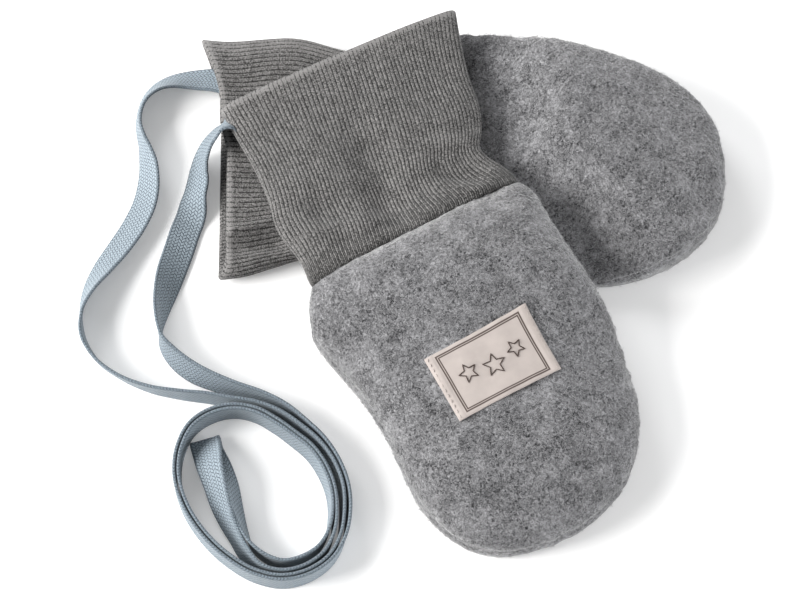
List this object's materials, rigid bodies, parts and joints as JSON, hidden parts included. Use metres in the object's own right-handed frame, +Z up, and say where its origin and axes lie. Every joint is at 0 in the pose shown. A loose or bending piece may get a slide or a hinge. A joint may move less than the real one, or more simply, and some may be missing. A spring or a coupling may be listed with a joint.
{
  "type": "pair of baby mittens",
  "caption": "Thumbless wool fleece baby mittens with rib-knit cuffs, joined by a flat braided tape, lying crossed on a surface.",
  "frame": {"origin": "on the surface that the mittens lie on, under the middle of the two mittens' outline, the tape left out", "axes": "+Z up from the surface; +Y towards the upper mitten's cuff opening; +X towards the lower mitten's tip"},
  "size_m": [0.1944, 0.1793, 0.0287],
  "materials": {
    "wool_fleece": "brushed mottled wool fleece, matt",
    "rib_knit": "melange rib knit, matt",
    "label_cloth": "smooth woven ribbon, slight sheen",
    "tape_braid": "flat herringbone braid, slight sheen"
  },
  "bodies": {
    "root": {"lower_mitten_back_panel": "wool_fleece", "lower_mitten_front_panel": "wool_fleece", "lower_mitten_cuff": "rib_knit", "upper_mitten_back_panel": "wool_fleece", "upper_mitten_front_panel": "wool_fleece", "upper_mitten_cuff": "rib_knit", "label": "label_cloth", "lower_cuff_tape": "tape_braid", "upper_cuff_tape": "tape_braid", "tape_coil": "tape_braid", "tape_folded_end": "tape_braid"}
  },
  "joints": []
}
